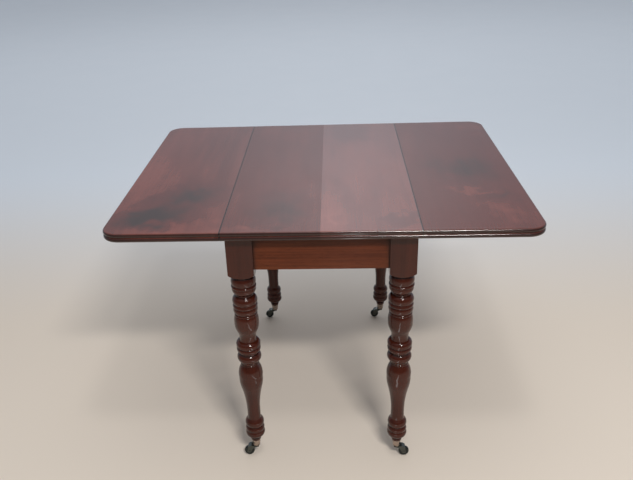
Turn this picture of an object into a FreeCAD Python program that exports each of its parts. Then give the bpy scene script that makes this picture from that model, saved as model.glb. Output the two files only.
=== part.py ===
import FreeCAD, Part
import math
import os
import re

import Sketcher

# A drop leaf table of the Pembroke kind. A fixed centre of two glued boards stands on four turned
# legs joined by end rails and side rails. A leaf hangs from each side of the centre on rule-joint
# hinges, and two fly brackets a side swing out on wooden knuckle joints to carry it. Each foot
# stands in the socket of a small swivel caster.
#
# Frame: millimetres, +X across the leaves, +Y towards the back end, +Z up. The origin is on the
# floor under the middle of the top. Left is -X and front is -Y.

SIZES = (
    # The top
    ("height", 730, "floor to the top face"),
    ("board_thick", 22, "thickness of the centre boards and leaves"),
    ("half_length", 420, "half the length of the top"),
    ("seam_x", 236, "middle of the table to each rule joint"),
    ("leaf_reach", 287, "hinge pin to the outer edge of a leaf"),
    ("corner_radius", 45, "outer corners of the leaves"),
    ("edge_depth", 5, "depth of the reeded edge moulding"),
    ("reed_root", 1.2, "how far the groove between the reeds stands out"),
    ("reed_height", 10.6, "height of one reed"),
    ("reed_radius", 5.6, "radius of one reed"),
    # Rule joint and its hinges
    ("joint_step", 5, "square step at the top of the rule joint"),
    ("joint_round", 13, "quarter round of the rule joint"),
    ("joint_gap", 0.5, "gap between the round and the cove"),
    ("hinge_y", 255, "middle of the table to each hinge"),
    ("hinge_wide", 54, "hinge length along the joint"),
    ("hinge_thick", 2, "thickness of the hinge plates"),
    ("knuckle_radius", 3.5, "outside of the hinge knuckles"),
    ("hinge_pin", 1.5, "radius of the hinge pins"),
    ("run_gap", 0.05, "radial gap of a turning fit"),
    ("knuckle_gap", 0.3, "gap between the ends of the hinge knuckles"),
    ("plate_start", 4.5, "hinge pin to where a plate is full width"),
    ("top_plate", 33, "hinge pin to the end of the plate on the centre"),
    ("leaf_plate", 52, "hinge pin to the end of the plate on the leaf"),
    # Frame
    ("leg_block", 65, "side of the square leg block"),
    ("leg_x", 197, "leg axis from the middle, across"),
    ("leg_y", 358.5, "leg axis from the middle, along"),
    ("block_bottom", 589, "underside of the square leg block"),
    ("shoulder_in", 28, "leg axis to the start of the block's rounded shoulder"),
    ("shoulder_rise", 12.5, "how much higher the shoulder is at the block's corners"),
    ("shoulder_round", 30, "radius of the block's rounded shoulder"),
    ("turned_radius", 32, "largest radius of the turning"),
    ("rail_bottom", 612.5, "underside of the rails"),
    ("rail_thick", 22, "thickness of the rails"),
    ("end_rail_y", 372, "middle of the table to the middle of an end rail"),
    ("side_rail_x", 191.5, "middle of the table to the middle of a side rail"),
    ("tenon_thick", 10, "thickness of the tenons"),
    ("tenon_long", 30, "length of the tenons"),
    ("tenon_rise", 12, "shoulder above and below a tenon"),
    # Fly brackets
    ("knuckle_x", 215.5, "middle of the table to a bracket's pin"),
    ("knuckle_y", 107, "middle of the table to a bracket's pin, along"),
    ("bracket_thick", 25, "thickness of a bracket"),
    ("bracket_long", 215, "bracket pin to the tip"),
    ("bracket_bottom", 613, "underside of a bracket"),
    ("bracket_top", 707, "top of a bracket, clear of the leaf"),
    ("bracket_pin", 3, "radius of a bracket's pin"),
    ("finger_gap", 0.4, "gap between the fingers of a wooden knuckle"),
    ("shoulder_gap", 0.5, "gap between a finger and the shoulder it turns past"),
    # Screws
    ("screw_radius", 1.9, "shank of a hinge screw"),
    ("screw_head", 3.6, "countersunk head of a hinge screw"),
    ("screw_sink", 1.7, "depth of the countersunk head"),
    ("screw_long", 14.5, "length of a hinge screw"),
    ("frame_screw", 2.1, "shank of the pocket and block screws"),
    ("frame_head", 4.2, "head of the pocket and block screws"),
    ("block_screw", 36, "length of a knuckle block screw"),
    ("pocket_screw", 34, "length of a pocket screw under its head"),
    ("pocket_radius", 5.5, "gouged pocket in a rail"),
    ("pocket_depth", 22, "shoulder of a pocket to the top, along the screw"),
    ("pocket_slope", 15, "lean of a pocket screw, degrees"),
    ("pocket_in", 2, "where a pocket screw leaves the rail, inside its middle"),
    ("pocket_head", 2.2, "thickness of a pocket screw's head"),
    ("screw_point", 3, "length of a screw's point"),
    ("slot", 0.9, "width and depth of a screw's slot"),
    ("end_screw_x", 100, "pocket screws in the end rails"),
    ("side_screw_y", 200, "pocket screws in the side rails"),
    ("glue_block", 18, "side of a glue block"),
    ("glue_long", 60, "length of a glue block"),
    # Casters
    ("cup_bottom", 36, "underside of a caster socket"),
    ("cup_floor", 39, "end of the foot in the socket"),
    ("cup_top", 57, "rim of a caster socket"),
    ("cup_base_out", 9.5, "outside of the socket at its base"),
    ("cup_rim_out", 12.5, "outside of the socket at its rim"),
    ("cup_wall", 1.5, "wall of the socket"),
    ("cup_band", 2.6, "height of the beads round the socket's base and rim"),
    ("cup_bead", 1.7, "radius of those beads"),
    ("foot_pin", 1.1, "radius of the pins that hold a socket on"),
    ("foot_pin_z", 47, "height of those pins"),
    ("foot_pin_in", 4.2, "leg axis to their inner ends"),
    ("foot_pin_out", 11.5, "leg axis to their heads"),
    ("spindle", 3, "radius of the swivel spindle"),
    ("spindle_head", 4.6, "riveted head of the spindle"),
    ("spindle_room", 5, "height of the hollow over the riveted head"),
    ("boss", 7, "radius of the horn's boss"),
    ("boss_rise", 3, "underside of the boss over the crown's"),
    ("trail", 21, "swivel axis to the wheel's axle"),
    ("wheel_radius", 14.5, "caster wheel"),
    ("wheel_wide", 11, "width of a caster wheel"),
    ("tread_rise", 2, "how far the rounded tread stands out"),
    ("hub", 4.5, "radius of a wheel's hub"),
    ("dish", 0.8, "depth of a wheel's dished faces"),
    ("cheek_gap", 0.4, "wheel to the horn's cheeks"),
    ("cheek_thick", 2.4, "thickness of the horn's cheeks"),
    ("cheek_round", 6, "round of a cheek under the axle"),
    ("crown_bottom", 30.5, "underside of the horn over the wheel"),
    ("axle_radius", 2, "radius of a wheel's axle"),
    ("axle_head", 3.2, "radius of an axle's riveted ends"),
)

SIDES = {"left": -1, "right": 1}
ENDS = {"front": -1, "back": 1}

# The turning of a leg, from the foot up: height, radius, and the radius of the arc that arrives
# there, positive for a bead, negative for a cove and 0 for a straight run. It is drawn for the
# block_bottom and turned_radius given here and follows those two cells.
DRAWN_BOTTOM = 589
DRAWN_RADIUS = 32
TURNING = (
    # foot above the socket
    (60, 12.5, 0),
    (67, 13, 3.8),
    (69, 14, 0),
    # two beads and a ring
    (71, 15.5, 0),
    (93.5, 24.5, 15),
    (94.5, 24.3, 0),
    (109, 22.5, 12),
    (110, 22.5, 0),
    (134, 19.5, 18),
    # long taper and its shoulder
    (137, 18, 0),
    (150, 18, 0),
    (240, 27.6, -330),
    (278, 31.9, 125),
    (316.5, 23.2, 55),
    # neck, ring and a grooved ring
    (317.5, 23, 0),
    (322.5, 23.2, 3),
    (327, 23.5, 0),
    (329, 25.5, 0),
    (354.5, 25, 15.6),
    (358, 25, 0),
    (366, 31.6, 8.5),
    (374, 29.3, 9),
    (375, 29.3, 0),
    (377.5, 31.8, 3),
    (384, 32, 0),
    (393.5, 22.8, 11.5),
    (395.5, 21.8, 0),
    (401, 21.8, 0),
    # small vase
    (421, 26, -45.9),
    (451, 32, 60),
    (471, 29, 45),
    # ring, fillet and ring
    (471.5, 28.5, 0),
    (477, 28.5, 3.6),
    (478, 28, 0),
    (495, 29.5, 15),
    (505, 30, 7),
    (506, 29.5, 0),
    (529.5, 23.5, 16.5),
    # cove, ring, fillet and ring
    (535.5, 23.5, -3.6),
    (552.5, 30, 14),
    (553.5, 30, 0),
    (560, 30, 3.6),
    (561, 29.5, 0),
    (586, 26.5, 24),
)

doc = FreeCAD.newDocument("drop_leaf_table")
sheet = doc.addObject("Spreadsheet::Sheet", "Sizes")
for row, (alias, size, note) in enumerate(SIZES, 1):
    sheet.set(f"A{row}", alias)
    sheet.set(f"B{row}", str(size))
    sheet.set(f"C{row}", note)
    sheet.setAlias(f"B{row}", alias)
doc.recompute()

ALIASES = {alias for alias, _size, _note in SIZES}
UNDERSIDE = "(height - board_thick)"
PIN_Z = "(height - joint_step - joint_round)"
PIN_DROP = "(board_thick - joint_step - joint_round)"
LEAN = "pocket_slope * 1 deg"
POCKET_IN = f"(pocket_in + pocket_depth * sin({LEAN}))"
POCKET_Z = f"({UNDERSIDE} - pocket_depth * cos({LEAN}))"
RAIL_HIGH = f"({UNDERSIDE} - rail_bottom)"
FINGER = "((bracket_top - bracket_bottom) / 5)"
CUP_FLARE = "((cup_rim_out - cup_base_out) / (cup_top - cup_bottom))"
CUP_INNER = f"(cup_base_out + {CUP_FLARE} * (cup_floor - cup_bottom) - cup_wall)"
HORN_WIDE = "(wheel_wide + 2 * cheek_gap + 2 * cheek_thick)"
# The turn that lays a primitive's own +Z along X or along Y.
ALONG_X = ((0, 1, 0), 90)
ALONG_Y = ((1, 0, 0), -90)
# Countersunk hinge screws: reach from the pin and place along the hinge, as shares of its length.
TOP_SCREWS = ((13, -0.32), (13, 0.32), (25, 0))
LEAF_SCREWS = ((24, -0.32), (24, 0.32), (42, 0))
# Screws from a side rail into its knuckle block: place along the rail and height.
BLOCK_SCREWS = tuple(
    (f"{share} * knuckle_y / 2", f"rail_bottom + {rise} * {RAIL_HIGH}")
    for share in (-1, 1)
    for rise in (0.3, 0.7)
)
# The corners of a bracket's swept underside, from the pin to the tip: share of its length, rise and arc.
OGEE = ((0.58, 0, None), (0.76, 27, 44), (0.93, 54, -44), (1, 57, None))
# Which way each caster trails, in degrees about +Z from +X.
TRAILING = {"front_left": 180, "front_right": 0, "back_left": 180, "back_right": 180}
# Each screw of a group is turned this much further than the last, so that the slots don't line up.
SLOT_TURN = 47


def cells(text):
    """An expression in the sheet's aliases, as FreeCAD wants it."""
    return re.sub(r"[a-z_]+", lambda m: "Sizes." + m.group() if m.group() in ALIASES else m.group(), text)


def value(text):
    """The number that an expression in the sheet's aliases comes to."""
    result = sheet.evalExpression(cells(text))
    return float(getattr(result, "Value", result))


def new_body(label):
    body = doc.addObject("PartDesign::Body", label)
    body.Label = label
    return body


def place(body, x="0", y="0", z="0", turn=0):
    """Stands a body at a point, turned about +Z."""
    body.Placement = FreeCAD.Placement(FreeCAD.Vector(), FreeCAD.Rotation(FreeCAD.Vector(0, 0, 1), turn))
    for axis, text in zip("xyz", (x, y, z)):
        body.setExpression("Placement.Base." + axis, cells(text))
    return body


def new_sketch(body, plane, offset="0"):
    """A sketch on one of the body's own origin planes, lifted along the plane's normal."""
    origin_plane = next(f for f in body.Origin.OriginFeatures if f.Role == plane + "_Plane")
    made = body.newObject("Sketcher::SketchObject", "Sketch")
    made.AttachmentSupport = [(origin_plane, "")]
    made.MapMode = "FlatFace"
    made.setExpression("AttachmentOffset.Base.z", cells(offset))
    return made


def arc_between(start, end, radius):
    """The short arc from start to end. A positive radius turns left, a negative one turns right."""
    half = (end - start) * 0.5
    rise = math.sqrt(max(radius * radius - half.Length**2, 0.0))
    left = FreeCAD.Vector(-half.y, half.x, 0).normalize()
    centre = start + half + left * math.copysign(rise, radius)
    first, last = (start, end) if radius > 0 else (end, start)
    angles = [math.atan2(p.y - centre.y, p.x - centre.x) for p in (first, last)]
    if angles[1] < angles[0]:
        angles[1] += 2 * math.pi
    return Part.ArcOfCircle(Part.Circle(centre, FreeCAD.Vector(0, 0, 1), abs(radius)), *angles)


def draw(sketch, points, closed=True):
    """Lines and arcs through points, each bound to the sheet. A third item is the arriving arc."""
    spots = [FreeCAD.Vector(value(p[0]), value(p[1]), 0) for p in points]
    runs = list(zip(range(len(points)), range(1, len(points))))
    if closed:
        runs.append((len(points) - 1, 0))
    ends = []
    for a, b in runs:
        bend = points[b][2] if len(points[b]) > 2 else None
        if bend is None:
            run = sketch.addGeometry(Part.LineSegment(spots[a], spots[b]))
            ends.append((run, 1, 2))
            continue
        radius = value(bend)
        run = sketch.addGeometry(arc_between(spots[a], spots[b], radius))
        ends.append((run, 1, 2) if radius > 0 else (run, 2, 1))
        bound = sketch.addConstraint(Sketcher.Constraint("Radius", run, abs(radius)))
        sketch.setExpression(f"Constraints[{bound}]", cells(f"abs({bend})"))
    joined = zip(ends, ends[1:] + ends[:1]) if closed else zip(ends, ends[1:])
    for (run, _first, last), (following, first, _last) in joined:
        sketch.addConstraint(Sketcher.Constraint("Coincident", run, last, following, first))
    corners = [(run, first) for run, first, _last in ends]
    if not closed:
        corners.append((ends[-1][0], ends[-1][2]))
    for (run, end), spot, point in zip(corners, spots, points):
        for kind, number, text in (("DistanceX", spot.x, point[0]), ("DistanceY", spot.y, point[1])):
            bound = sketch.addConstraint(Sketcher.Constraint(kind, -1, 1, run, end, number))
            sketch.setExpression(f"Constraints[{bound}]", cells(text))
    return sketch


def rectangle(x0, y0, x1, y1):
    return ((x0, y0), (x1, y0), (x1, y1), (x0, y1))


def pad(body, sketch, length, both=False):
    made = body.newObject("PartDesign::Pad", "Pad")
    made.Profile = sketch
    made.SideType = "Symmetric" if both else "One side"
    made.setExpression("Length", cells(length))
    return made


def pocket_through(body, sketch):
    """Cuts an outline right through the body, both ways."""
    made = body.newObject("PartDesign::Pocket", "Pocket")
    made.Profile = sketch
    made.SideType = "Symmetric"
    made.Type = "ThroughAll"
    return made


def revolve(body, sketch, kind="Revolution"):
    """Turns a profile about its sketch's upright axis, to add it or as a Groove to cut it away."""
    made = body.newObject("PartDesign::" + kind, kind)
    made.Profile = sketch
    made.ReferenceAxis = (sketch, ["V_Axis"])
    made.Angle = 360
    return made


def primitive(body, kind, sizes, at, turn=None):
    """A PartDesign primitive with its sizes and its corner or base bound to the sheet."""
    made = body.newObject("PartDesign::" + kind, kind)
    if turn:
        axis, degrees = turn
        made.Placement.Rotation = FreeCAD.Rotation(FreeCAD.Vector(*axis), degrees)
    for name, text in sizes.items():
        made.setExpression(name, cells(text))
    for axis, text in zip("xyz", at):
        made.setExpression("Placement.Base." + axis, cells(text))
    return made


def box(body, kind, centre, span):
    """A box about a centre in X and Y that stands on the third height of centre."""
    x, y, z = centre
    wide, deep, high = span
    sizes = {"Length": wide, "Width": deep, "Height": high}
    primitive(body, kind + "Box", sizes, (f"{x} - ({wide}) / 2", f"{y} - ({deep}) / 2", z))


def rod(body, kind, base, radius, length, turn=None):
    primitive(body, kind + "Cylinder", {"Radius": radius, "Height": length}, base, turn)


def reed_profile(edge, outward):
    """The two reeds of the edge, up from the underside. Edge is the line that they stand on."""
    bulge = "-reed_radius" if outward < 0 else "reed_radius"
    root = f"{edge} + {outward} * reed_root"
    return (
        (root, UNDERSIDE),
        (root, f"{UNDERSIDE} + reed_height", bulge),
        (root, "height - reed_height"),
        (root, "height", bulge),
    )


def cut_reeds(body):
    """Works the reeded edge on the front and back ends of a centre board."""
    for outward in ENDS.values():
        edge = f"{outward} * (half_length - edge_depth)"
        past = f"{outward} * (half_length + edge_depth)"
        outline = reed_profile(edge, outward) + (
            (f"{edge} + {outward} * reed_root", "height + edge_depth"),
            (past, "height + edge_depth"),
            (past, f"{UNDERSIDE} - edge_depth"),
            (f"{edge} + {outward} * reed_root", f"{UNDERSIDE} - edge_depth"),
        )
        pocket_through(body, draw(new_sketch(body, "YZ"), outline))


def cut_hinge_seats(body):
    """Lets each hinge into the underside of a centre board: plate, knuckles and the leaf's plate."""
    for end in ENDS.values():
        y = f"{end} * hinge_y"
        loose = "(hinge_wide + 1)"
        plate = "(top_plate - plate_start)"
        box(body, "Subtractive", (f"seam_x - plate_start - {plate} / 2", y, f"{UNDERSIDE} - 1"),
            (plate, "hinge_wide", "hinge_thick + 1"))
        box(body, "Subtractive", ("seam_x", y, f"{UNDERSIDE} - 1"),
            ("2 * plate_start", loose, f"{PIN_DROP} + 1 + knuckle_radius + joint_gap"))
        box(body, "Subtractive", ("seam_x + plate_start + joint_round / 2", y, f"{UNDERSIDE} - 1"),
            ("joint_round", loose, "hinge_thick + 1 + joint_gap"))
        for reach, share in TOP_SCREWS:
            at = (f"seam_x - {reach}", f"{y} + {share} * hinge_wide", UNDERSIDE)
            rod(body, "Subtractive", at, "screw_radius", "screw_long")


def lean(end, along_x):
    """The turn that lays +Z along a pocket screw, leaning out towards the given end or side."""
    degrees = value("pocket_slope")
    return ((0, 1, 0), end * degrees) if along_x else ((1, 0, 0), -end * degrees)


def centre_board(side):
    """Half of the fixed centre, from the glue line to the quarter round of the rule joint."""
    body = new_body(f"top_board_{side}")
    nose = f"seam_x + sqrt(joint_round ^ 2 - {PIN_DROP} ^ 2)"
    outline = (
        ("0", UNDERSIDE),
        (nose, UNDERSIDE),
        ("seam_x", "height - joint_step", "joint_round"),
        ("seam_x", "height"),
        ("0", "height"),
    )
    pad(body, draw(new_sketch(body, "XZ"), outline), "2 * half_length", both=True)
    cut_reeds(body)
    cut_hinge_seats(body)
    hole = ("frame_screw", "pocket_screw")
    for end in ENDS.values():
        at = ("end_screw_x", f"{end} * (end_rail_y - {POCKET_IN})", POCKET_Z)
        rod(body, "Subtractive", at, *hole, lean(end, along_x=False))
    for share in (-1, 0, 1):
        at = (f"side_rail_x - {POCKET_IN}", f"{share} * side_screw_y", POCKET_Z)
        rod(body, "Subtractive", at, *hole, lean(1, along_x=True))
    return place(body, turn=0 if SIDES[side] > 0 else 180)


def leaf(side):
    """A drop leaf, drawn from its hinge pin: X out from the pin, Z up from it."""
    body = new_body(f"{side}_leaf")
    inner_y = "(half_length - edge_depth)"
    outer_x = "(leaf_reach - edge_depth)"
    inner_radius = "(corner_radius - edge_depth)"
    turn_x = "leaf_reach - corner_radius"
    turn_y = "(half_length - corner_radius)"
    rim = (
        ("joint_gap", f"-{inner_y}"),
        (turn_x, f"-{inner_y}"),
        (outer_x, f"-{turn_y}", inner_radius),
        (outer_x, turn_y),
        (turn_x, inner_y, inner_radius),
        ("joint_gap", inner_y),
    )
    pad(body, draw(new_sketch(body, "XY", f"-{PIN_DROP}"), rim), "board_thick")
    path = draw(new_sketch(body, "XY"), rim, closed=False)
    reeds = [(p[0], f"{p[1]} - {PIN_Z}", *p[2:]) for p in reed_profile(f"-{inner_y}", -1)]
    nose = [(f"-{inner_y}", f"-{PIN_DROP}"), *reeds, (f"-{inner_y}", "joint_step + joint_round")]
    edge = body.newObject("PartDesign::AdditivePipe", "ReededEdge")
    edge.Profile = draw(new_sketch(body, "YZ", "joint_gap"), nose)
    edge.Spine = path
    cove = ("joint_round + joint_gap", "4 * half_length")
    rod(body, "Subtractive", ("0", "-2 * half_length", "0"), *cove, ALONG_Y)
    for end in ENDS.values():
        y = f"{end} * hinge_y"
        seat = "(leaf_plate - joint_round + joint_gap)"
        at = (f"leaf_plate - {seat} / 2", y, f"-{PIN_DROP} - 1")
        box(body, "Subtractive", at, (seat, "hinge_wide", "hinge_thick + 1"))
        for reach, share in LEAF_SCREWS:
            at = (str(reach), f"{y} + {share} * hinge_wide", f"-{PIN_DROP}")
            rod(body, "Subtractive", at, "screw_radius", "screw_long")
    return place(body, f"{SIDES[side]} * seam_x", "0", PIN_Z, 0 if SIDES[side] > 0 else 180)


def hinge_plate(side, end, on_leaf):
    """One plate of a table hinge with its knuckles. The leaf's plate has the middle knuckle."""
    body = new_body(f"hinge_{'leaf' if on_leaf else 'top'}_plate_{end}_{side}")
    reach, screws, way = ("leaf_plate", LEAF_SCREWS, 1) if on_leaf else ("top_plate", TOP_SCREWS, -1)
    middle = f"({way} * ({reach} + plate_start) / 2)"
    length = f"({reach} - plate_start)"
    box(body, "Additive", (middle, "0", f"-{PIN_DROP}"), (length, "hinge_wide", "hinge_thick"))
    third = "(hinge_wide / 3)"
    short = f"({third} - knuckle_gap)"
    places = ("0",) if on_leaf else (f"-{third} - knuckle_gap / 2", f"{third} + knuckle_gap / 2")
    for y in places:
        box(body, "Additive", (f"{way} * plate_start / 2", y, f"-{PIN_DROP}"),
            ("plate_start", short, "hinge_thick"))
        rod(body, "Additive", ("0", f"{y} - {short} / 2", "0"), "knuckle_radius", short, ALONG_Y)
    bore = "hinge_pin + run_gap" if on_leaf else "hinge_pin"
    rod(body, "Subtractive", ("0", "-hinge_wide", "0"), bore, "2 * hinge_wide", ALONG_Y)
    for distance, share in screws:
        at = (f"{way * distance}", f"{share} * hinge_wide", f"-{PIN_DROP}")
        rod(body, "Subtractive", at, "screw_radius", "hinge_thick")
        sink = {"Radius1": "screw_head", "Radius2": "screw_radius", "Height": "screw_sink"}
        primitive(body, "SubtractiveCone", sink, at)
    return stand_at_hinge(body, side, end)


def stand_at_hinge(body, side, end):
    turn = 0 if SIDES[side] > 0 else 180
    return place(body, f"{SIDES[side]} * seam_x", f"{ENDS[end]} * hinge_y", PIN_Z, turn)


def hinge_pin(side, end):
    body = new_body(f"hinge_pin_{end}_{side}")
    rod(body, "Additive", ("0", "-hinge_wide / 2", "0"), "hinge_pin", "hinge_wide", ALONG_Y)
    return stand_at_hinge(body, side, end)


def leg(side, end):
    """A leg of one piece: a square block, the turning and the tapered foot in the socket."""
    body = new_body(f"leg_{end}_{side}")
    half = "leg_block / 2"
    square = rectangle(f"-{half}", f"-{half}", half, half)
    pad(body, draw(new_sketch(body, "XY", "block_bottom"), square), f"{UNDERSIDE} - block_bottom")
    corner = "(shoulder_in + leg_block)"
    away = (
        ("shoulder_in", "block_bottom - 1"),
        ("shoulder_in", "block_bottom"),
        (f"{half} * sqrt(2) + 1", "block_bottom + shoulder_rise", "shoulder_round"),
        (corner, "block_bottom + shoulder_rise"),
        (corner, "block_bottom - 1"),
    )
    revolve(body, draw(new_sketch(body, "XZ"), away), "Groove")
    turned = [
        ("0", "cup_floor"),
        (CUP_INNER, "cup_floor"),
        ("cup_rim_out - cup_wall", "cup_top"),
        ("cup_rim_out", "cup_top"),
    ]
    for high, wide, bend in TURNING:
        x = f"{wide} / {DRAWN_RADIUS} * turned_radius"
        z = f"{high} / {DRAWN_BOTTOM} * block_bottom"
        turned.append((x, z, f"{bend}") if bend else (x, z))
    turned.append((turned[-1][0], "block_bottom + 1"))
    turned.append(("0", "block_bottom + 1"))
    revolve(body, draw(new_sketch(body, "XZ"), turned))
    out_x, out_y = SIDES[side], ENDS[end]
    deep = "(tenon_long + 1)"
    high = f"({RAIL_HIGH} - 2 * tenon_rise)"
    low = "rail_bottom + tenon_rise"
    reach = f"(leg_block / 2 - {deep} / 2)"
    box(body, "Subtractive", (f"{-out_x} * {reach}", f"{out_y} * (end_rail_y - leg_y)", low),
        (deep, "tenon_thick", high))
    box(body, "Subtractive", (f"{out_x} * (side_rail_x - leg_x)", f"{-out_y} * {reach}", low),
        ("tenon_thick", deep, high))
    rod(body, "Subtractive", ("0", "0", "cup_floor - 1"), "spindle_head + joint_gap", "spindle_room + 1")
    cut_pin_holes(body)
    return place(body, f"{out_x} * leg_x", f"{out_y} * leg_y")


def cut_pin_holes(body):
    """The holes through the socket's wall into the foot, one each side."""
    long = "foot_pin_out - foot_pin_in"
    for start in ("foot_pin_in", "-foot_pin_out"):
        rod(body, "Subtractive", (start, "0", "foot_pin_z"), "foot_pin", long, ALONG_X)


def end_rail(end):
    """The rail under an end of the top, drawn as the front one, with a tenon at each end."""
    body = new_body(f"end_rail_{end}")
    span = "2 * (leg_x - leg_block / 2)"
    box(body, "Additive", ("0", "0", "rail_bottom"), (span, "rail_thick", RAIL_HIGH))
    box(body, "Additive", ("0", "0", "rail_bottom + tenon_rise"),
        (f"{span} + 2 * tenon_long", "tenon_thick", f"{RAIL_HIGH} - 2 * tenon_rise"))
    for share in (-1, 1):
        at = (f"{share} * end_screw_x", POCKET_IN, POCKET_Z)
        cut_pocket(body, at, lean(-1, along_x=False), (0, 1))
    turn = 0 if ENDS[end] < 0 else 180
    return place(body, "0", f"{ENDS[end]} * end_rail_y", "0", turn)


def cut_pocket(body, at, turn, inward):
    """A screw hole up through a rail and the gouged pocket that its head is driven from."""
    rod(body, "Subtractive", at, "frame_screw", "pocket_screw", turn)
    long = "(2 * pocket_depth)"
    x, y, z = at
    in_x, in_y = inward
    base = (
        f"{x} + {in_x} * {long} * sin({LEAN})",
        f"{y} + {in_y} * {long} * sin({LEAN})",
        f"{z} - {long} * cos({LEAN})",
    )
    rod(body, "Subtractive", base, "pocket_radius", long, turn)


def side_rail(side):
    """The inner rail along a side, drawn as the right one, with a tenon at each end."""
    body = new_body(f"side_rail_{side}")
    span = "2 * (leg_y - leg_block / 2)"
    box(body, "Additive", ("0", "0", "rail_bottom"), ("rail_thick", span, RAIL_HIGH))
    box(body, "Additive", ("0", "0", "rail_bottom + tenon_rise"),
        ("tenon_thick", f"{span} + 2 * tenon_long", f"{RAIL_HIGH} - 2 * tenon_rise"))
    for share in (-1, 0, 1):
        at = (f"-{POCKET_IN}", f"{share} * side_screw_y", POCKET_Z)
        cut_pocket(body, at, lean(1, along_x=True), (-1, 0))
    for y, z in BLOCK_SCREWS:
        rod(body, "Subtractive", ("-rail_thick", y, z), "frame_screw", "2 * rail_thick", ALONG_X)
        sink = {"Radius1": "frame_head", "Radius2": "frame_screw", "Height": "screw_sink"}
        primitive(body, "SubtractiveCone", sink, ("-rail_thick / 2", y, z), ALONG_X)
    turn = 0 if SIDES[side] > 0 else 180
    return place(body, f"{SIDES[side]} * side_rail_x", "0", "0", turn)


def finger_bands(first):
    """The fingers of a wooden knuckle: 0, 2 and 4 are the block's, 1 and 3 the bracket's."""
    return [f"(bracket_bottom + {n} * {FINGER})" for n in range(first, 5, 2)]


def knuckle_block(side):
    """The fixed block glued and screwed to a side rail, with three fingers at each end."""
    body = new_body(f"knuckle_block_{side}")
    inner = "(knuckle_x - side_rail_x - rail_thick / 2)"
    wide = f"({inner} + bracket_thick / 2)"
    high = "(bracket_top - bracket_bottom)"
    box(body, "Additive", (f"{wide} / 2 - {inner}", "0", "bracket_bottom"), (wide, "2 * knuckle_y", high))
    for end in ENDS.values():
        y = f"{end} * knuckle_y"
        rod(body, "Additive", ("0", y, "bracket_bottom"), "bracket_thick / 2", high)
        notch = "(bracket_thick + 2 * shoulder_gap)"
        for z in finger_bands(1):
            box(body, "Subtractive", ("0", y, z), ("2 * bracket_thick", notch, FINGER))
        rod(body, "Subtractive", ("0", y, "bracket_bottom - 1"), "bracket_pin", f"{high} + 2")
    for y, z in BLOCK_SCREWS:
        at = (f"-{inner} - 1", y, z)
        rod(body, "Subtractive", at, "frame_screw", "block_screw - rail_thick + 1", ALONG_X)
    turn = 0 if SIDES[side] > 0 else 180
    return place(body, f"{SIDES[side]} * knuckle_x", "0", "0", turn)


def bracket(side, end):
    """A fly bracket, drawn from its pin with the tip along +Y, its underside swept up in an ogee."""
    body = new_body(f"bracket_{end}_{side}")
    outline = [("0", "bracket_bottom")]
    for share, rise, bend in OGEE:
        corner = (f"{share} * bracket_long", f"bracket_bottom + {rise}")
        outline.append(corner if bend is None else (*corner, str(bend)))
    outline += [("bracket_long", "bracket_top"), ("0", "bracket_top")]
    pad(body, draw(new_sketch(body, "YZ"), outline), "bracket_thick", both=True)
    high = "(bracket_top - bracket_bottom)"
    rod(body, "Additive", ("0", "0", "bracket_bottom"), "bracket_thick / 2", high)
    notch = "(bracket_thick + 2 * shoulder_gap)"
    for z in finger_bands(0):
        box(body, "Subtractive", ("0", "0", f"{z} - finger_gap"),
            ("2 * bracket_thick", notch, f"{FINGER} + 2 * finger_gap"))
    rod(body, "Subtractive", ("0", "0", "bracket_bottom - 1"), "bracket_pin + run_gap", f"{high} + 2")
    return stand_at_knuckle(body, side, end)


def stand_at_knuckle(body, side, end):
    turn = 0 if ENDS[end] > 0 else 180
    return place(body, f"{SIDES[side]} * knuckle_x", f"{ENDS[end]} * knuckle_y", "0", turn)


def bracket_pin(side, end):
    body = new_body(f"bracket_pin_{end}_{side}")
    rod(body, "Additive", ("0", "0", "bracket_bottom"), "bracket_pin", "bracket_top - bracket_bottom")
    return stand_at_knuckle(body, side, end)


def caster_socket(side, end):
    """The tapered brass cup on a foot, with the bore that the spindle turns in."""
    body = new_body(f"caster_socket_{end}_{side}")
    bore = "spindle + run_gap"
    outline = (
        (bore, "cup_bottom"),
        ("cup_base_out", "cup_bottom"),
        (f"cup_base_out + cup_band * {CUP_FLARE}", "cup_bottom + cup_band", "cup_bead"),
        (f"cup_rim_out - cup_band * {CUP_FLARE}", "cup_top - cup_band"),
        ("cup_rim_out", "cup_top", "cup_bead"),
        ("cup_rim_out - cup_wall", "cup_top"),
        (CUP_INNER, "cup_floor"),
        (bore, "cup_floor"),
    )
    revolve(body, draw(new_sketch(body, "XZ"), outline))
    cut_pin_holes(body)
    return place(body, f"{SIDES[side]} * leg_x", f"{ENDS[end]} * leg_y")


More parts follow.
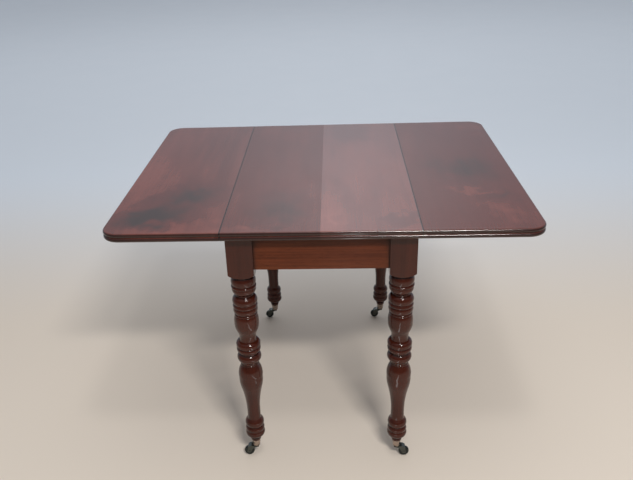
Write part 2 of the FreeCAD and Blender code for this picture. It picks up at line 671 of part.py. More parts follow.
def caster_horn(side, end):
    """The horn of a caster: two cheeks over the wheel, the boss and the riveted spindle."""
    body = new_body(f"caster_horn_{end}_{side}")
    boss_low = "(crown_bottom + boss_rise)"
    under = "(cheek_round - 0.1)"
    outline = (
        ("-boss", boss_low),
        ("-boss", f"{boss_low} - boss_rise / 2"),
        (f"trail - {under}", "wheel_radius", "-24"),
        (f"trail + {under}", "wheel_radius", "cheek_round"),
        ("trail + boss / 2", "crown_bottom - 1"),
        ("boss", boss_low, "2 * boss"),
    )
    pad(body, draw(new_sketch(body, "XZ"), outline), HORN_WIDE, both=True)
    slot = ("4 * trail", "wheel_wide + 2 * cheek_gap", "crown_bottom + 1")
    box(body, "Subtractive", ("trail", "0", "-1"), slot)
    rod(body, "Additive", ("0", "0", f"{boss_low} - 1"), "boss", f"cup_bottom - joint_gap - {boss_low} + 1")
    rod(body, "Additive", ("0", "0", boss_low), "spindle", f"cup_floor + 1 - {boss_low}")
    rod(body, "Additive", ("0", "0", "cup_floor + knuckle_gap"), "spindle_head", "cup_wall")
    bore = ("axle_radius", f"2 * {HORN_WIDE}")
    rod(body, "Subtractive", ("trail", f"-{HORN_WIDE}", "wheel_radius"), *bore, ALONG_Y)
    return place(body, f"{SIDES[side]} * leg_x", f"{ENDS[end]} * leg_y", "0", TRAILING[f"{end}_{side}"])


def stand_at_wheel(body, side, end):
    way = 1 if TRAILING[f"{end}_{side}"] == 0 else -1
    x = f"{SIDES[side]} * leg_x + {way} * trail"
    return place(body, x, f"{ENDS[end]} * leg_y", "wheel_radius")


def caster_wheel(side, end):
    """A wheel with a hub, dished faces and a rounded tread, turned about its axle along Y."""
    body = new_body(f"caster_wheel_{end}_{side}")
    bore = "axle_radius + run_gap"
    half = "wheel_wide / 2"
    tread = "(wheel_wide ^ 2 / 4 + tread_rise ^ 2) / (2 * tread_rise)"
    rim = "wheel_radius - tread_rise"
    outline = (
        (bore, f"-{half}"),
        ("hub", f"-{half}"),
        ("hub + dish", f"-{half} + dish"),
        (f"{rim} - dish", f"-{half} + dish"),
        (rim, f"-{half}"),
        (rim, half, tread),
        (f"{rim} - dish", f"{half} - dish"),
        ("hub + dish", f"{half} - dish"),
        ("hub", half),
        (bore, half),
    )
    revolve(body, draw(new_sketch(body, "XY"), outline))
    return stand_at_wheel(body, side, end)


def caster_axle(side, end):
    """The riveted pin through the cheeks and the wheel."""
    body = new_body(f"caster_axle_{end}_{side}")
    rod(body, "Additive", ("0", f"-{HORN_WIDE} / 2 - 1", "0"), "axle_radius", f"{HORN_WIDE} + 2", ALONG_Y)
    for y in (f"-{HORN_WIDE} / 2 - 1", f"{HORN_WIDE} / 2"):
        rod(body, "Additive", ("0", y, "0"), "axle_head", "1", ALONG_Y)
    return stand_at_wheel(body, side, end)


def screw(label, head, head_depth, shank, length, countersunk):
    """A pattern for one slotted screw along +Z, the face that its head is sunk or drawn to at Z = 0."""
    body = new_body(label)
    top = "0" if countersunk else f"-{head_depth}"
    if countersunk:
        rim = [(head, top), (shank, head_depth)]
    else:
        rim = [(head, top), (head, "0"), (shank, "0")]
    outline = [("0", top), *rim, (shank, f"{length} - screw_point"), ("0", length)]
    revolve(body, draw(new_sketch(body, "XZ"), outline))
    box(body, "Subtractive", ("0", "0", f"{top} - slot"), (f"3 * {head}", "slot", "2 * slot"))
    return body


def glue_prism():
    """A pattern for one glue block, its square corner along Y at the origin, inside towards -X."""
    body = new_body("glue_block_pattern")
    outline = (("0", "0"), ("-glue_block", "0"), ("0", "-glue_block"))
    pad(body, draw(new_sketch(body, "XZ"), outline), "glue_long", both=True)
    return body


def group(label, pattern, stands, spin=0):
    """A node of separate solids, one copy of the pattern at each stand: a point and its turns."""
    copies = []
    for number, ((x, y, z), *turns) in enumerate(stands):
        turned = FreeCAD.Rotation()
        for axis, degrees in [*turns, ((0, 0, 1), number * spin)]:
            turned = turned.multiply(FreeCAD.Rotation(FreeCAD.Vector(*axis), degrees))
        at = FreeCAD.Vector(value(x), value(y), value(z))
        copy = pattern.Shape.copy()
        copy.Placement = FreeCAD.Placement(at, turned)
        copies.append(copy)
    made = doc.addObject("Part::Feature", label)
    made.Label = label
    made.Shape = Part.makeCompound(copies)
    made.Placement = FreeCAD.Placement()
    return made


def hinge_screw_stands(side, screws, way):
    out = SIDES[side]
    return [
        ((f"{out} * (seam_x + {way * reach})", f"{end} * hinge_y + {out * share} * hinge_wide", UNDERSIDE),)
        for end in ENDS.values()
        for reach, share in screws
    ]


def pocket_screw_stands():
    stands = []
    for end in ENDS.values():
        for share in (-1, 1):
            at = (f"{share} * end_screw_x", f"{end} * (end_rail_y - {POCKET_IN})", POCKET_Z)
            stands.append((at, lean(end, along_x=False)))
    for out in SIDES.values():
        for share in (-1, 0, 1):
            at = (f"{out} * (side_rail_x - {POCKET_IN})", f"{share} * side_screw_y", POCKET_Z)
            stands.append((at, lean(out, along_x=True)))
    return stands


def block_screw_stands():
    return [
        ((f"{out} * (side_rail_x - rail_thick / 2)", y, z), ((0, 1, 0), out * 90))
        for out in SIDES.values()
        for y, z in BLOCK_SCREWS
    ]


def glue_block_stands():
    stands = []
    for out in SIDES.values():
        for share in (-1, 1):
            at = (f"{out} * (side_rail_x - rail_thick / 2)", f"{share} * side_screw_y / 2", UNDERSIDE)
            stands.append((at, ((0, 0, 1), 0 if out > 0 else 180)))
    for end in ENDS.values():
        for share in (-1, 1):
            at = (f"{share} * end_screw_x / 2", f"{end} * (end_rail_y - rail_thick / 2)", UNDERSIDE)
            stands.append((at, ((0, 0, 1), end * 90)))
    return stands


def socket_pin_stands():
    return [
        ((f"{out} * leg_x + {way} * foot_pin_in", f"{end} * leg_y", "foot_pin_z"), ((0, 1, 0), way * 90))
        for out in SIDES.values()
        for end in ENDS.values()
        for way in (-1, 1)
    ]


def socket_pin():
    """A pattern for one of the pins that hold a socket on its foot, its head just proud."""
    body = new_body("socket_pin_pattern")
    rod(body, "Additive", ("0", "0", "0"), "foot_pin", "foot_pin_out - foot_pin_in")
    return body


def build_pieces():
    """Every node of the table, in the order that a maker would put them together."""
    nodes = []
    corners = [(side, end) for side in SIDES for end in ENDS]
    nodes += [leg(side, end) for side, end in corners]
    nodes += [end_rail(end) for end in ENDS]
    nodes += [side_rail(side) for side in SIDES]
    nodes += [knuckle_block(side) for side in SIDES]
    nodes += [centre_board(side) for side in SIDES]
    nodes += [leaf(side) for side in SIDES]
    for make in (bracket, bracket_pin, hinge_pin, caster_socket, caster_horn, caster_wheel, caster_axle):
        nodes += [make(side, end) for side, end in corners]
    nodes += [hinge_plate(side, end, on_leaf) for side, end in corners for on_leaf in (False, True)]
    hinge_screw = screw("hinge_screw", "screw_head", "screw_sink", "screw_radius", "screw_long", True)
    block_screw = screw("block_screw", "frame_head", "screw_sink", "frame_screw", "block_screw", True)
    pocket_screw = screw("pocket_screw", "frame_head", "pocket_head", "frame_screw", "pocket_screw", False)
    prism = glue_prism()
    pin = socket_pin()
    doc.recompute()
    top_screws = [stand for side in SIDES for stand in hinge_screw_stands(side, TOP_SCREWS, -1)]
    nodes.append(group("hinge_screws_top", hinge_screw, top_screws, SLOT_TURN))
    for side in SIDES:
        stands = hinge_screw_stands(side, LEAF_SCREWS, 1)
        nodes.append(group(f"hinge_screws_{side}_leaf", hinge_screw, stands, SLOT_TURN))
    nodes.append(group("knuckle_block_screws", block_screw, block_screw_stands(), SLOT_TURN))
    nodes.append(group("pocket_screws", pocket_screw, pocket_screw_stands(), SLOT_TURN))
    nodes.append(group("glue_blocks", prism, glue_block_stands()))
    nodes.append(group("caster_socket_pins", pin, socket_pin_stands()))
    return nodes


def check(nodes):
    """Stops if any object failed or any node is not a sound shape."""
    failed = [o.Name for o in doc.Objects if {"Invalid", "Error"} & set(o.State)]
    if failed:
        raise SystemExit(f"failed objects: {failed}")
    for node in nodes:
        shape = node.Shape
        if shape.isNull() or not shape.isValid() or not shape.Solids:
            raise SystemExit(f"{node.Label} is not a sound shape")


def main():
    nodes = build_pieces()
    doc.recompute()
    check(nodes)
    os.makedirs("parts", exist_ok=True)
    for node in nodes:
        node.Shape.exportStep(os.path.join("parts", node.Label + ".step"))
    print(len(nodes), "nodes")


main()
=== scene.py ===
import math

import bpy
from mathutils import Matrix, Vector

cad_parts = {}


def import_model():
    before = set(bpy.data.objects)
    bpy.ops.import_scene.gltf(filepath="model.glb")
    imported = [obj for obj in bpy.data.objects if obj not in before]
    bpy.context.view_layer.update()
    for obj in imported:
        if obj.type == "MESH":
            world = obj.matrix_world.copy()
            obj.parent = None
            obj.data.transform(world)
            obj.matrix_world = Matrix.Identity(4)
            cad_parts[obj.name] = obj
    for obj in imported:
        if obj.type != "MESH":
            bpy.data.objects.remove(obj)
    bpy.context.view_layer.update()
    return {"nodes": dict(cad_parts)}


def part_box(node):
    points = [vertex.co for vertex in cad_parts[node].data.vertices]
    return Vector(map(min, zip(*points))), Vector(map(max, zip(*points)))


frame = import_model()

# The looks of a mahogany drop leaf table: a material for every piece, eased edges, a pale floor,
# studio light and the camera. Metres, +X across the leaves, +Y to the back, +Z up.

nodes = frame["nodes"]

SIDES = ("left", "right")
ENDS = ("front", "back")
CORNERS = [f"{end}_{side}" for end in ENDS for side in SIDES]

# The hinge pins lie under the seam between the centre of the top and a leaf.
PIN_RADIUS = 0.0015
SEAM_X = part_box("hinge_pin_front_right")[0].x + PIN_RADIUS
FLOOR_Z = 0.0


# ---------------------------------------------------------------- shader building

# A Mix node has a set of sockets for each kind of value. These are the ones for colours.
MIX_SHARE, MIX_FIRST, MIX_SECOND, MIX_RESULT = 0, 6, 7, 2

# Most of a noise's values lie between these.
NOISE_LOW, NOISE_HIGH = 0.3, 0.7


class Shader:
    """The nodes of a material or a world. An input given as a socket is linked, and any other is set
    on the socket."""

    def __init__(self, owner):
        owner.use_nodes = True
        self.owner = owner
        self.tree = owner.node_tree
        self.tree.nodes.clear()
        self.place = self.add("ShaderNodeTexCoord")

    def add(self, kind, inputs=None, **settings):
        node = self.tree.nodes.new(kind)
        for name, setting in settings.items():
            setattr(node, name, setting)
        for name, given in (inputs or {}).items():
            if isinstance(given, bpy.types.NodeSocket):
                self.tree.links.new(given, node.inputs[name])
            else:
                node.inputs[name].default_value = given
        return node

    def math(self, operation, first, second=0.0, clamp=False):
        node = self.add("ShaderNodeMath", {0: first, 1: second}, operation=operation, use_clamp=clamp)
        return node.outputs[0]

    def vector_math(self, operation, first, second=(0, 0, 0), output="Vector"):
        return self.add("ShaderNodeVectorMath", {0: first, 1: second}, operation=operation).outputs[output]

    def split(self, vector):
        """The X, Y and Z of a vector, by name."""
        return self.add("ShaderNodeSeparateXYZ", {"Vector": vector}).outputs

    def stretch(self, vector, scale, move=(0, 0, 0)):
        """The place scaled and then moved, so that noise runs long along a grain."""
        given = {"Vector": vector, "Scale": scale, "Location": move}
        return self.add("ShaderNodeMapping", given).outputs["Vector"]

    def noise(self, vector, scale=1.0, detail=2.0, rough=0.5, bend=0.0, output="Fac"):
        given = {"Vector": vector, "Scale": scale, "Detail": detail, "Roughness": rough, "Distortion": bend}
        return self.add("ShaderNodeTexNoise", given).outputs[output]

    def span(self, value, low, high, to_low=0.0, to_high=1.0, smooth=True):
        """The value from low to high, eased onto another span and held at its ends."""
        given = {"Value": value, "From Min": low, "From Max": high, "To Min": to_low, "To Max": to_high}
        kind = "SMOOTHSTEP" if smooth else "LINEAR"
        return self.add("ShaderNodeMapRange", given, interpolation_type=kind).outputs["Result"]

    def vary(self, noise, to_low, to_high):
        """A noise taken straight onto another span."""
        return self.span(noise, NOISE_LOW, NOISE_HIGH, to_low, to_high, smooth=False)

    def mix(self, share, first, second, blend="MIX"):
        """Two colours, mixed by the share of the second."""
        node = self.add("ShaderNodeMix", data_type="RGBA", blend_type=blend)
        for number, given in ((MIX_SHARE, share), (MIX_FIRST, first), (MIX_SECOND, second)):
            socket = node.inputs[number]
            if isinstance(given, bpy.types.NodeSocket):
                self.tree.links.new(given, socket)
            else:
                socket.default_value = given if isinstance(given, float) else (*given, 1.0)
        return node.outputs[MIX_RESULT]

    def tinted(self, colour, tint, amount, share):
        """A colour taken towards a tint by an amount from 0 to 1, where 1 is the given share of it."""
        return self.mix(self.math("MULTIPLY", amount, share), colour, tint)

    def tones(self, value, stops):
        """A colour from a value, by stops of (place, colour)."""
        ramp = self.add("ShaderNodeValToRGB", {"Fac": value})
        ramp.color_ramp.interpolation = "EASE"
        while len(ramp.color_ramp.elements) < len(stops):
            ramp.color_ramp.elements.new(0.5)
        for element, (place, colour) in zip(ramp.color_ramp.elements, stops):
            element.position = place
            element.color = (*colour, 1.0)
        return ramp.outputs["Color"]

    def openness(self, reach, samples=12):
        """1 in the open, and less in a hollow that is narrow beside the reach."""
        return self.add("ShaderNodeAmbientOcclusion", {"Distance": reach}, samples=samples).outputs["AO"]

    def bump(self, height, distance, strength=1.0, under=None):
        given = {"Height": height, "Distance": distance, "Strength": strength}
        if under is not None:
            given["Normal"] = under
        return self.add("ShaderNodeBump", given).outputs["Normal"]

    def finish(self, **sockets):
        """Ends the material in one Principled shader."""
        full_names = {"Specular": "Specular IOR Level"}
        given = {full_names.get(name, name.replace("_", " ")): value for name, value in sockets.items()}
        shader = self.add("ShaderNodeBsdfPrincipled", given)
        output = self.add("ShaderNodeOutputMaterial")
        self.tree.links.new(shader.outputs["BSDF"], output.inputs["Surface"])
        return self.owner


def new_shader(name):
    return Shader(bpy.data.materials.new(name))


def along(axis, fine, long):
    """Scales for noise that is fine across one axis and runs long along it."""
    return tuple(long if i == "XYZ".index(axis) else fine for i in range(3))


# ---------------------------------------------------------------- wood

# The tones of each wood, from its dark grain to its light grain.
BOARD_TONES = (
    (0.0, (0.036, 0.018, 0.014)),
    (0.38, (0.098, 0.024, 0.017)),
    (0.66, (0.175, 0.045, 0.031)),
    (1.0, (0.30, 0.088, 0.064)),
)
RAW_TONES = ((0.3, (0.085, 0.045, 0.028)), (0.7, (0.17, 0.10, 0.065)))
LEG_TONES = ((0.0, (0.022, 0.0046, 0.0028)), (0.5, (0.056, 0.0112, 0.0055)), (1.0, (0.107, 0.026, 0.012)))
RAIL_TONES = ((0.0, (0.048, 0.011, 0.0055)), (0.5, (0.118, 0.028, 0.010)), (1.0, (0.225, 0.064, 0.024)))
FRAME_TONES = ((0.0, (0.08, 0.039, 0.019)), (0.5, (0.165, 0.086, 0.043)), (1.0, (0.26, 0.15, 0.08)))

# Old polish and dirt, with painted shade: the top's sideways edges are darkened as old polish and painted
# shade, its seams as dirt, and the hollows of the legs and rails as grime and painted shade.
EDGE_DIRT_AND_SHADE = (0.014, 0.008, 0.007)
LEG_GRIME_AND_SHADE = (0.008, 0.003, 0.0025)
RAIL_GRIME_AND_SHADE = (0.030, 0.010, 0.006)

# How far the grain strays from straight. The outlines of the patches wander further, on slow waves.
WAVER = (0.012, 0.012, 0.012)
PATCH_WAVES = (5.0, 4.0, 5.0)
PATCH_WANDER = (0.075, 0.15, 0.0)

# How far from the seam its grime ends, and how near it is full.
SEAM_CLEAN, SEAM_DARK = 0.0028, 0.0007

# How the roughness of a polish varies: the parts that handling and smears have in it, how much
# smoother and rougher they make it, and how much a sleek edge or a worn place changes it.
HANDLED_PART, SMEARED_PART = 0.6, 0.4
SMOOTHER_BY, ROUGHER_BY = 0.012, 0.022
SLEEK_BY, WORN_BY = 0.10, 0.35


def wood_grain(shader, axis, move):
    """Streaks, lines, pores and broad tone of one board, each 0 to 1, running along an axis."""
    place = shader.place.outputs["Object"]

    def fibres(where, fine, long, **settings):
        return shader.noise(shader.stretch(where, along(axis, fine, long), move), **settings)

    waver = fibres(place, fine=5.0, long=1.2)
    shift = shader.add("ShaderNodeVectorMath", {0: WAVER, "Scale": waver}, operation="SCALE")
    bent = shader.vector_math("ADD", place, shift.outputs["Vector"])
    pores = fibres(bent, fine=1500.0, long=60.0, detail=1.0)
    return {
        "place": place,
        "broad": fibres(bent, fine=9.0, long=1.7, detail=3.0, rough=0.55, bend=0.4),
        "streaks": fibres(bent, fine=170.0, long=5.0, detail=4.0, rough=0.62),
        "lines": fibres(bent, fine=46.0, long=1.6, detail=3.0, rough=0.6),
        "pores": shader.span(pores, low=0.60, high=0.72),
    }


def figured(shader, grain, tones, low, high, lines):
    """A wood's colour: its broad tone between two places on its tones, with lines of a given strength."""
    broad = shader.vary(grain["broad"], low, high)
    tone = shader.math("ADD", broad, shader.vary(grain["lines"], -lines, lines))
    return shader.tones(tone, tones)


def darkened(shader, colour, grain, pores=0.5, streaks=0.2):
    """A colour with its pores darker, and its fine streaks darker and lighter, by the given shares."""
    streak = shader.span(grain["streaks"], 0.35, 0.68, 1.0 - streaks, 1.0 + streaks * 0.7, smooth=False)
    pore = shader.span(grain["pores"], 0.0, 1.0, 1.0, 1.0 - pores, smooth=False)
    shade = shader.math("MULTIPLY", streak, pore)
    grey = shader.add("ShaderNodeCombineColor", {"Red": shade, "Green": shade, "Blue": shade})
    return shader.mix(1.0, colour, grey.outputs["Color"], "MULTIPLY")


def grimed_and_shaded(shader, colour, grime_and_shade_tint, reach, bare, share):
    """A colour darkened in its hollows, which are less open than the bare places: grime, and painted shade
    where shade falls.
    """
    # Darker the more shut in a place is: painted shade, with grime.
    in_hollows = shader.span(shader.openness(reach), low=bare, high=0.50)
    return shader.tinted(colour, grime_and_shade_tint, in_hollows, share)


def polish(shader, grain, colour, rough, coat, worn=None, sleek=None, specular=0.5, relief=1.0):
    """French polish over a grain: a soft sheen that varies, filled pores and a faint ripple. It is
    rougher where worn and smoother where sleek."""
    place = grain["place"]
    handled = shader.noise(place, scale=7.0, detail=3.0, rough=0.6)
    smears = shader.noise(shader.stretch(place, along("Y", fine=14.0, long=3.0)), detail=3.0, rough=0.7)
    handled = shader.math("MULTIPLY", handled, HANDLED_PART)
    sheen = shader.math("ADD", handled, shader.math("MULTIPLY", smears, SMEARED_PART))
    roughness = shader.span(sheen, 0.35, 0.65, rough - SMOOTHER_BY, rough + ROUGHER_BY)
    if sleek is not None:
        roughness = shader.math("SUBTRACT", roughness, shader.math("MULTIPLY", sleek, SLEEK_BY), clamp=True)
    if worn is not None:
        roughness = shader.math("ADD", roughness, shader.math("MULTIPLY", worn, WORN_BY), clamp=True)
    ripple = shader.noise(place, scale=22.0, detail=1.0)
    normal = shader.bump(ripple, distance=0.0003 * relief, strength=0.2)
    normal = shader.bump(grain["streaks"], distance=0.00004 * relief, strength=0.4, under=normal)
    normal = shader.bump(grain["pores"], distance=-0.00003 * relief, strength=0.4, under=normal)
    return shader.finish(
        Base_Color=colour,
        Roughness=roughness,
        Normal=normal,
        Specular=specular,
        Coat_Weight=coat,
        Coat_Roughness=0.09,
    )


def ellipse(shader, place, centre, reach, turn):
    """1 at the middle of a soft ellipse on the top, 0 outside it."""
    given = {
        "Vector": place,
        "Location": (*centre, 0.0),
        "Rotation": (0.0, 0.0, turn),
        "Scale": (*reach, 1.0),
    }
    local = shader.add("ShaderNodeMapping", given, vector_type="TEXTURE").outputs["Vector"]
    flat = shader.vector_math("MULTIPLY", local, (1, 1, 0))
    away = shader.vector_math("LENGTH", flat, output="Value")
    return shader.span(away, low=1.0, high=0.0)


def patched(shader, tone, place, move, patches):
    """A board's tone with its patches added, whose outlines wander."""
    waves = shader.stretch(place, PATCH_WAVES, move)
    wander = shader.noise(waves, scale=5.0, detail=1.3, output="Color")
    centred = shader.vector_math("SUBTRACT", wander, (0.5, 0.5, 0.5))
    shift = shader.vector_math("MULTIPLY", centred, PATCH_WANDER)
    wandering = shader.vector_math("ADD", place, shift)
    for centre, reach, turn, change in patches:
        soft = ellipse(shader, wandering, centre, reach, turn)
        tone = shader.math("ADD", tone, shader.math("MULTIPLY", soft, change))
    return tone


def board(name, move, tone, sheen, patches):
    """A polished board of the top: its own figure and sheen, edges painted dark with old polish and painted
    shade, grime along the seam, and a raw underside."""
    shader = new_shader(name)
    grain = wood_grain(shader, "Y", move)
    place = grain["place"]
    darkest, lightest = tone - 0.10, tone + 0.11
    figure = shader.span(grain["broad"], 0.30, 0.72, darkest, lightest, smooth=False)
    figure = shader.math("ADD", figure, shader.vary(grain["lines"], -0.03, 0.03))
    figure = patched(shader, figure, place, move, patches)
    colour = darkened(shader, shader.tones(figure, BOARD_TONES), grain, pores=0.22, streaks=0.08)

    # The faces that look sideways, the edges of the top, are painted darker: old polish and painted shade.
    facing = shader.split(shader.place.outputs["Normal"])["Z"]
    edge = shader.span(shader.math("ABSOLUTE", facing), low=0.95, high=0.55)
    colour = shader.tinted(colour, EDGE_DIRT_AND_SHADE, edge, share=0.85)

    from_middle = shader.math("ABSOLUTE", shader.split(place)["X"])
    from_seam = shader.math("ABSOLUTE", shader.math("SUBTRACT", from_middle, SEAM_X))
    seam = shader.span(from_seam, low=SEAM_CLEAN, high=SEAM_DARK)
    colour = shader.tinted(colour, EDGE_DIRT_AND_SHADE, seam, share=0.9)

    raw = shader.span(facing, low=-0.75, high=-0.95)
    colour = shader.mix(raw, colour, darkened(shader, shader.tones(grain["lines"], RAW_TONES), grain))
    return polish(shader, grain, colour, rough=0.21, coat=sheen, worn=raw, sleek=edge)


def leg_wood():
    """Turned mahogany, dark, with a bright polish; its grooves are painted darker, as grime and painted
    shade.
    """
    shader = new_shader("polished_leg_mahogany")
    grain = wood_grain(shader, "Z", (0.0, 0.0, 0.0))
    colour = figured(shader, grain, LEG_TONES, low=0.24, high=0.60, lines=0.06)
    colour = darkened(shader, colour, grain, pores=0.3, streaks=0.12)
    # Painted shade and grime in the grooves and hollows of the legs.
    colour = grimed_and_shaded(shader, colour, LEG_GRIME_AND_SHADE, reach=0.014, bare=0.92, share=0.9)
    return polish(shader, grain, colour, rough=0.09, coat=0.0, specular=0.36, relief=0.15)


def rail_wood(name, axis, move):
    """The rails, a warmer and lighter mahogany with a straight grain, painted darker under the top and in
    its hollows: painted shade, with grime.
    """
    shader = new_shader(name)
    grain = wood_grain(shader, axis, move)
    colour = figured(shader, grain, RAIL_TONES, low=0.28, high=0.72, lines=0.18)
    colour = darkened(shader, colour, grain, streaks=0.28)
    # Painted shade under the overhang of the top and in the hollows, with grime.
    colour = grimed_and_shaded(shader, colour, RAIL_GRIME_AND_SHADE, reach=0.055, bare=0.94, share=0.85)
    return polish(shader, grain, colour, rough=0.30, coat=0.0, specular=0.17)


def frame_wood(name, axis, move):
    """Unpolished secondary wood of the brackets and blocks, with saw marks across its grain."""
    shader = new_shader(name)
    grain = wood_grain(shader, axis, move)
    colour = figured(shader, grain, FRAME_TONES, low=0.25, high=0.75, lines=0.2)
    colour = darkened(shader, colour, grain, pores=0.35)
    saw = shader.noise(shader.stretch(grain["place"], along(axis, fine=60.0, long=260.0)))
    normal = shader.bump(saw, distance=0.0003, strength=0.35)
    normal = shader.bump(grain["streaks"], distance=0.00025, strength=0.6, under=normal)
    rough = shader.vary(grain["lines"], 0.56, 0.74)
    return shader.finish(Base_Color=colour, Roughness=rough, Normal=normal)


# ---------------------------------------------------------------- metal

def aged_metal(name, bare, stain, rough, rubbed=0.5):
    """Cast metal that has gone dull. It is stained in its hollows and in blotches, which are fewer
    on a metal that is more rubbed."""
    shader = new_shader(name)
    place = shader.place.outputs["Object"]
    blotch = shader.noise(place, scale=90.0, detail=4.0, rough=0.65)
    pits = shader.noise(place, scale=900.0)
    blotched = shader.span(blotch, low=0.60 - rubbed / 3, high=0.40 - rubbed / 5)
    in_hollows = shader.span(shader.openness(reach=0.006, samples=8), low=0.9, high=0.4)
    stained = shader.math("MAXIMUM", blotched, in_hollows)
    normal = shader.bump(pits, distance=0.00008, strength=0.5)
    return shader.finish(
        Base_Color=shader.mix(stained, bare, stain),
        Roughness=shader.span(stained, 0.0, 1.0, rough, rough + 0.28),
        Metallic=shader.span(stained, 0.0, 1.0, 1.0, 0.55),
        Normal=shader.bump(blotch, distance=0.0003, strength=0.35, under=normal),
    )


# ---------------------------------------------------------------- dressing the frame

WELD_REACH = 0.00001
SHARP_ANGLE = math.radians(32)


def dress(node, material, ease):
    """Gives a CAD node its material, and eases its sharp edges."""
    piece = nodes[node]
    piece.data.materials.clear()
    piece.data.materials.append(material)
    for face in piece.data.polygons:
        face.use_smooth = True
    weld = piece.modifiers.new("Weld", "WELD")
    weld.merge_threshold = WELD_REACH
    if ease:
        bevel = piece.modifiers.new("Eased edges", "BEVEL")
        bevel.width = ease
        bevel.segments = 2
        bevel.limit_method = "ANGLE"
        bevel.angle_limit = SHARP_ANGLE
        bevel.use_clamp_overlap = True
    normals = piece.modifiers.new("Normals", "WEIGHTED_NORMAL")
    normals.keep_sharp = False


# Each board of the top: where its grain is cut from, how light it is, its sheen and its patches. A
# patch is a soft ellipse on the top: its centre, its reach, its turn in radians, and how much
# lighter or, below zero, darker it is.
BOARDS = {
    "left_leaf": {"move": (3.1, 0.4, 0.0), "tone": 0.49, "sheen": 0.05, "patches": (
        ((-0.430, -0.335), (0.155, 0.095), 0.30, -0.50),
        ((-0.350, -0.200), (0.155, 0.110), 0.80, -0.40),
        ((-0.350, -0.405), (0.220, 0.075), 0.0, 0.15),
        ((-0.480, -0.050), (0.080, 0.230), 0.0, 0.16),
    )},
    "top_board_left": {"move": (7.7, 1.9, 0.0), "tone": 0.40, "sheen": 0.02, "patches": (
        ((-0.100, -0.290), (0.130, 0.180), 0.2, -0.30),
        ((-0.150, -0.410), (0.130, 0.035), 0.0, 0.16),
        ((-0.120, 0.330), (0.110, 0.130), 0.0, 0.10),
    )},
    "top_board_right": {"move": (12.4, 5.2, 0.0), "tone": 0.54, "sheen": 0.30, "patches": (
        ((0.020, -0.330), (0.050, 0.200), 0.0, 0.22),
        ((0.190, -0.370), (0.070, 0.050), 0.3, -0.22),
        ((0.080, 0.330), (0.130, 0.180), 0.0, -0.16),
    )},
    "right_leaf": {"move": (17.9, 3.3, 0.0), "tone": 0.37, "sheen": 0.03, "patches": (
        ((0.395, -0.020), (0.170, 0.150), -0.35, -0.22),
        ((0.400, -0.185), (0.130, 0.045), -0.20, 0.20),
        ((0.430, -0.300), (0.055, 0.160), 0.75, 0.13),
        ((0.455, -0.220), (0.075, 0.045), -0.30, -0.24),
        ((0.480, 0.340), (0.060, 0.100), 0.0, 0.18),
    )},
}

IRON_GROUPS = (
    "hinge_screws_top",
    "hinge_screws_left_leaf",
    "hinge_screws_right_leaf",
    "knuckle_block_screws",
    "pocket_screws",
)


def dress_wood():
    """Every rail and bracket is cut from its own place in the grain, so no two look the same."""
    for node, look in BOARDS.items():
        dress(node, board("polished_" + node, **look), ease=0.0003)
    legs = leg_wood()
    for corner in CORNERS:
        dress("leg_" + corner, legs, ease=0.0004)
    for number, end in enumerate(ENDS):
        rail = rail_wood("polished_rail_" + end, "X", (0.0, 2.0 + number, 0.0))
        dress("end_rail_" + end, rail, ease=0.0004)
    for number, side in enumerate(SIDES):
        rail = rail_wood("polished_rail_" + side, "Y", (2.0 + number, 0.0, 0.0))
        dress("side_rail_" + side, rail, ease=0.0004)
    for number, corner in enumerate(CORNERS):
        bracket = frame_wood("bracket_wood_" + corner, "Y", (number, 3.0, 1.0))
        dress("bracket_" + corner, bracket, ease=0.0008)
    block = frame_wood("block_wood", "Y", (9.0, 3.0, 1.0))
    for side in SIDES:
        dress("knuckle_block_" + side, block, ease=0.0006)
    dress("glue_blocks", block, ease=0.0006)


def dress_metal():
    socket = aged_metal(
        "aged_brass", bare=(0.40, 0.32, 0.27), stain=(0.07, 0.045, 0.037), rough=0.15, rubbed=0.45
    )
    horn = aged_metal(
        "dark_bronze", bare=(0.10, 0.108, 0.10), stain=(0.006, 0.009, 0.008), rough=0.16, rubbed=0.8
    )
    wheel = aged_metal(
        "dark_wheel_brass", bare=(0.045, 0.052, 0.050), stain=(0.004, 0.006, 0.006), rough=0.17, rubbed=0.8
    )
    iron = aged_metal("dull_iron", bare=(0.20, 0.18, 0.165), stain=(0.05, 0.035, 0.028), rough=0.42)
    for corner in CORNERS:
        dress("caster_socket_" + corner, socket, ease=0.0003)
        dress("caster_horn_" + corner, horn, ease=0.0004)
        dress("caster_wheel_" + corner, wheel, ease=0.0004)
        dress("caster_axle_" + corner, horn, ease=0.0003)
        dress("bracket_pin_" + corner, iron, ease=0.0)
        dress("hinge_pin_" + corner, iron, ease=0.0002)
        dress("hinge_top_plate_" + corner, iron, ease=0.0002)
        dress("hinge_leaf_plate_" + corner, iron, ease=0.0002)
    dress("caster_socket_pins", socket, ease=0.0)
    for group in IRON_GROUPS:
        dress(group, iron, ease=0.0)


# ---------------------------------------------------------------- studio

FLOOR_SIZE = 80.0
FLOOR_NEAR = (0.71, 0.63, 0.54)
FLOOR_FAR = (0.76, 0.82, 0.89)

# The light of the room from in front, from the wall behind and from above, and a glow high on that
# wall, which the polished top reflects. GLOW_WAY points at the middle of the glow.
ROOM_FRONT = (0.13, 0.127, 0.123)
ROOM_WALL = (0.50, 0.545, 0.62)
ROOM_ABOVE = (0.52, 0.53, 0.55)
GLOW = (1.02, 1.0, 1.04)
GLOW_WAY = (0.015, 0.883, 0.469)
GLOW_REACH = 0.29
NO_LIGHT = (0.0, 0.0, 0.0)
ROOM_STRENGTH = 0.95

# The camera's place, and how it is turned from looking level along +Y.
CAMERA_PLACE = (0.03635, -1.84933, 1.41985)
YAW = math.radians(-3.625)
PITCH = math.radians(-26.05)
ROLL = math.radians(-2.387)
LENS_MM = 39.18
SENSOR_MM = 36.0
SHIFT_X = 0.031
SHIFT_Y = -0.0058


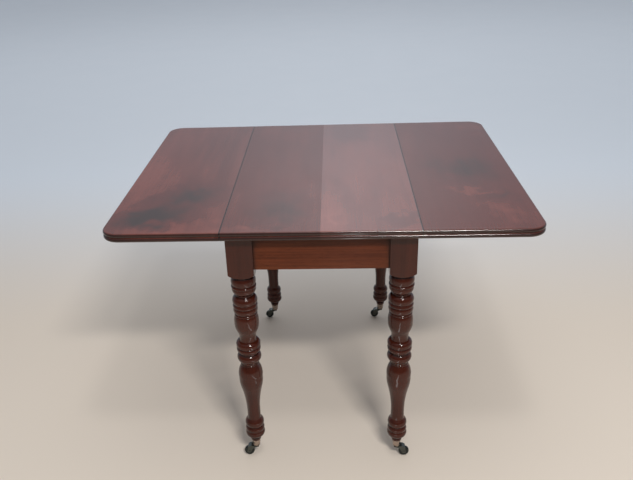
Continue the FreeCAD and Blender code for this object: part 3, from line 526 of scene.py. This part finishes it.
def floor():
    """A wide plain floor, a soft pale cream that cools with distance."""
    bpy.ops.mesh.primitive_plane_add(size=FLOOR_SIZE, location=(0.0, 0.0, FLOOR_Z))
    plane = bpy.context.object
    plane.name = "studio_floor"
    shader = new_shader("pale_floor")
    place = shader.place.outputs["Object"]
    far = shader.span(shader.split(place)["Y"], low=0.2, high=2.0)
    mottle = shader.noise(place, scale=3.0, detail=4.0)
    material = shader.finish(
        Base_Color=shader.mix(far, FLOOR_NEAR, FLOOR_FAR),
        Roughness=shader.span(mottle, NOISE_LOW, NOISE_HIGH, 0.50, 0.62),
        Specular=0.3,
    )
    plane.data.materials.append(material)


def world():
    """Soft daylight: bright above, a pale wall's tone behind the table with a glow in it, and dim
    in front of it."""
    scene_world = bpy.data.worlds.new("studio_world")
    bpy.context.scene.world = scene_world
    shader = Shader(scene_world)
    way = shader.place.outputs["Generated"]
    parts = shader.split(way)
    wall = shader.mix(shader.span(parts["Y"], low=-0.6, high=0.75), ROOM_FRONT, ROOM_WALL)
    sky = shader.mix(shader.span(parts["Z"], low=0.25, high=1.0), wall, ROOM_ABOVE)
    from_glow = shader.vector_math("DISTANCE", way, GLOW_WAY, output="Value")
    glow = shader.mix(shader.span(from_glow, low=GLOW_REACH, high=0.0), NO_LIGHT, GLOW)
    light = shader.mix(1.0, sky, glow, "ADD")
    background = shader.add("ShaderNodeBackground", {"Color": light, "Strength": ROOM_STRENGTH})
    output = shader.add("ShaderNodeOutputWorld")
    shader.tree.links.new(background.outputs["Background"], output.inputs["Surface"])


def area_light(name, at, aim, size, power, colour=(1.0, 1.0, 1.0), in_reflections=True):
    """A softbox of a width and a height that faces a point."""
    data = bpy.data.lights.new(name, "AREA")
    data.shape = "RECTANGLE"
    data.size, data.size_y = size
    data.energy = power
    data.color = colour
    lamp = bpy.data.objects.new(name, data)
    lamp.location = at
    lamp.rotation_euler = (Vector(aim) - Vector(at)).to_track_quat("-Z", "Y").to_euler()
    lamp.visible_camera = False
    lamp.visible_glossy = in_reflections
    bpy.context.scene.collection.objects.link(lamp)


def lights():
    """A soft light overhead, a long key light high in front with a small lamp nearer, a dim strip just
    above the floor that the legs reflect, and a wide light on the floor far behind."""
    area_light(
        "overhead",
        at=(0.1, -0.1, 3.2),
        aim=(0.0, 0.0, 0.0),
        size=(1.8, 1.8),
        power=12.0,
        colour=(1.0, 0.97, 0.92),
    )
    area_light(
        "key",
        at=(0.78, -2.50, 2.90),
        aim=(0.0, -0.3, 0.4),
        size=(0.72, 0.18),
        power=66.0,
        colour=(1.0, 0.97, 0.94),
    )
    area_light("lamp", at=(0.20, -1.10, 2.90), aim=(0.0, -0.3, 0.3), size=(0.26, 0.26), power=9.0)
    area_light("low strip", at=(0.10, -1.05, 0.03), aim=(0.10, -1.0, 1.0), size=(0.07, 0.95), power=0.55)
    area_light(
        "backdrop",
        at=(0.0, 5.0, 4.0),
        aim=(0.0, 5.4, 0.0),
        size=(9.0, 4.0),
        power=52.0,
        in_reflections=False,
    )


def camera():
    """In front of the table and looking down at it, with the photograph's slight tilt."""
    forward = Vector((math.sin(YAW) * math.cos(PITCH), math.cos(YAW) * math.cos(PITCH), math.sin(PITCH)))
    level = Vector((math.cos(YAW), -math.sin(YAW), 0.0))
    rise = level.cross(forward)
    right = level * math.cos(ROLL) + rise * math.sin(ROLL)
    up = rise * math.cos(ROLL) - level * math.sin(ROLL)
    data = bpy.data.cameras.new("camera")
    data.lens = LENS_MM
    data.sensor_width = SENSOR_MM
    data.shift_x = SHIFT_X
    data.shift_y = SHIFT_Y
    eye = bpy.data.objects.new("camera", data)
    turn = Matrix((right, up, -forward)).transposed().to_4x4()
    eye.matrix_world = Matrix.Translation(CAMERA_PLACE) @ turn
    bpy.context.scene.collection.objects.link(eye)
    bpy.context.scene.camera = eye


def colour_view():
    view = bpy.context.scene.view_settings
    view.view_transform = "Standard"
    view.look = "None"


dress_wood()
dress_metal()
floor()
world()
lights()
camera()
colour_view()
